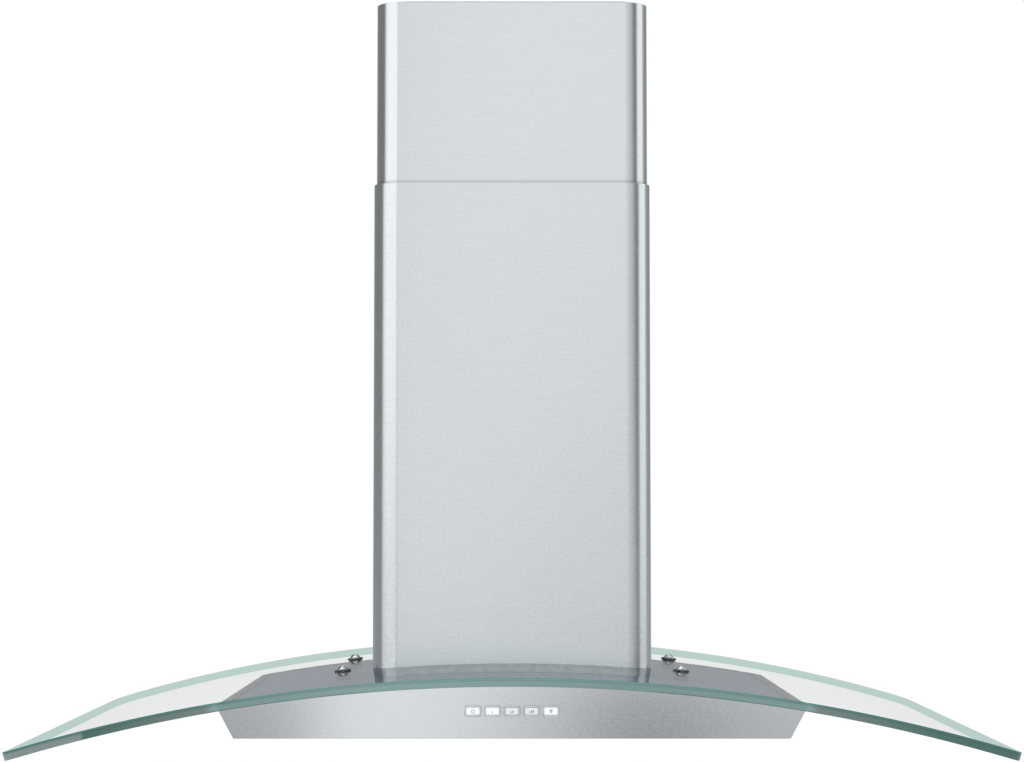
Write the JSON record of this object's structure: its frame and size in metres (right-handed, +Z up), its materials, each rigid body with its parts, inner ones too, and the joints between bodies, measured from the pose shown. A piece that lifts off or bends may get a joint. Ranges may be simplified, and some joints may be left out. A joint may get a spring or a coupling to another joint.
{
  "type": "island range hood",
  "caption": "Ceiling-hung island range hood with a telescoping steel chimney, a curved glass canopy over a slim steel body, push buttons, lamps and drop-down grease filters.",
  "frame": {"origin": "middle of the ceiling bracket's top face, where the hood meets the ceiling", "axes": "+Z up to the ceiling, +X along the glass to the right, -Y towards the side with the buttons"},
  "size_m": [0.908, 0.61, 0.727],
  "materials": {
    "brushed": "fine horizontal brushing, satin",
    "zinc": "galvanised sheet, dull spangle",
    "fastener": "zinc-plated",
    "dark_screw": "dark, semi-gloss",
    "polished": "polished",
    "shaft": "ground",
    "motor": "satin enamel",
    "wheel": "moulded plastic",
    "black_plastic": "moulded, matt",
    "white_plastic": "moulded, matt",
    "glass": "clear tempered glass, polished edges with a green tint",
    "gasket": "soft black foam rubber",
    "button_rim": "satin silver plastic",
    "button": "translucent white, lit from behind",
    "board": "green solder mask",
    "cable": "black sheath",
    "lens": "frosted",
    "lamp": "cast, satin",
    "aluminium": "satin",
    "mesh": "expanded mesh layers",
    "latch": "pressed steel"
  },
  "bodies": {
    "ceiling": {"ceiling_bracket": "zinc", "upper_angles": "zinc", "upper_cover": "brushed", "upper_cover_screws": "fastener"},
    "hood": {"lower_angles": "zinc", "frame_bolts": "fastener", "frame_nuts": "fastener", "blower_box": "zinc", "box_screws": "fastener", "scroll_housing": "zinc", "motor": "motor", "motor_bracket": "zinc", "capacitor": "white_plastic", "duct_collar": "black_plastic", "damper_rod": "shaft", "wiring_box": "white_plastic", "wiring_lid": "white_plastic", "cable_gland": "black_plastic", "lower_cover": "brushed", "cover_brackets": "zinc", "lower_cover_screws": "dark_screw", "glass_canopy": "glass", "glass_gasket": "gasket", "glass_bushes": "white_plastic", "glass_washers": "polished", "glass_screws": "polished", "glass_nuts": "fastener", "top_plate": "brushed", "front_panel": "brushed", "back_panel": "brushed", "end_panel_left": "brushed", "end_panel_right": "brushed", "bottom_panel": "brushed", "button_holder": "button_rim", "control_board": "board", "board_screws": "fastener", "control_cable": "cable", "lamp_bezels": "polished", "lamp_lenses": "lens", "lamp_modules": "lamp", "led_driver": "white_plastic", "filter_brackets": "zinc"},
    "wheel": {"blower_wheel": "wheel", "motor_shaft": "shaft"},
    "damper_front": {"damper_flap_front": "black_plastic"},
    "damper_back": {"damper_flap_back": "black_plastic"},
    "button_1": {"button_1": "button"},
    "button_2": {"button_2": "button"},
    "button_3": {"button_3": "button"},
    "button_4": {"button_4": "button"},
    "button_5": {"button_5": "button"},
    "filter_left": {"filter_left_frame": "aluminium", "filter_left_mesh": "mesh"},
    "latch_left": {"filter_left_latch": "latch"},
    "filter_right": {"filter_right_frame": "aluminium", "filter_right_mesh": "mesh"},
    "latch_right": {"filter_right_latch": "latch"}
  },
  "joints": [
    {"name": "height_adjust", "type": "slide", "parent": "ceiling", "child": "hood", "axis": [0, 0, 1], "range_m": [-0.2, 0.09]},
    {"name": "button_1_press", "type": "slide", "parent": "hood", "child": "button_1", "axis": [0, 1, 0], "range_m": [0, 0.0015], "stiffness_N_per_m": 600, "springref_m": -0.001},
    {"name": "button_2_press", "type": "slide", "parent": "hood", "child": "button_2", "axis": [0, 1, 0], "range_m": [0, 0.0015], "stiffness_N_per_m": 600, "springref_m": -0.001},
    {"name": "button_3_press", "type": "slide", "parent": "hood", "child": "button_3", "axis": [0, 1, 0], "range_m": [0, 0.0015], "stiffness_N_per_m": 600, "springref_m": -0.001},
    {"name": "button_4_press", "type": "slide", "parent": "hood", "child": "button_4", "axis": [0, 1, 0], "range_m": [0, 0.0015], "stiffness_N_per_m": 600, "springref_m": -0.001},
    {"name": "button_5_press", "type": "slide", "parent": "hood", "child": "button_5", "axis": [0, 1, 0], "range_m": [0, 0.0015], "stiffness_N_per_m": 600, "springref_m": -0.001},
    {"name": "filter_left_hinge", "type": "hinge", "parent": "hood", "child": "filter_left", "pos_m": [-0.097, 0.144, -0.711], "axis": [1, 0, 0], "range_deg": [0, 80]},
    {"name": "latch_left_slide", "type": "slide", "parent": "filter_left", "child": "latch_left", "axis": [0, 1, 0], "range_m": [0, 0.006], "stiffness_N_per_m": 300, "springref_m": -0.004},
    {"name": "filter_right_hinge", "type": "hinge", "parent": "hood", "child": "filter_right", "pos_m": [0.097, 0.144, -0.711], "axis": [1, 0, 0], "range_deg": [0, 80]},
    {"name": "latch_right_slide", "type": "slide", "parent": "filter_right", "child": "latch_right", "axis": [0, 1, 0], "range_m": [0, 0.006], "stiffness_N_per_m": 300, "springref_m": -0.004},
    {"name": "wheel_spin", "type": "hinge", "parent": "hood", "child": "wheel", "pos_m": [0, 0.018, -0.552], "axis": [1, 0, 0], "continuous": true},
    {"name": "damper_back_hinge", "type": "hinge", "parent": "hood", "child": "damper_back", "pos_m": [0, 0, -0.38], "axis": [1, 0, 0], "range_deg": [0, 75]},
    {"name": "damper_front_hinge", "type": "hinge", "parent": "hood", "child": "damper_front", "pos_m": [0, 0, -0.38], "axis": [-1, 0, 0], "range_deg": [0, 75]}
  ]
}
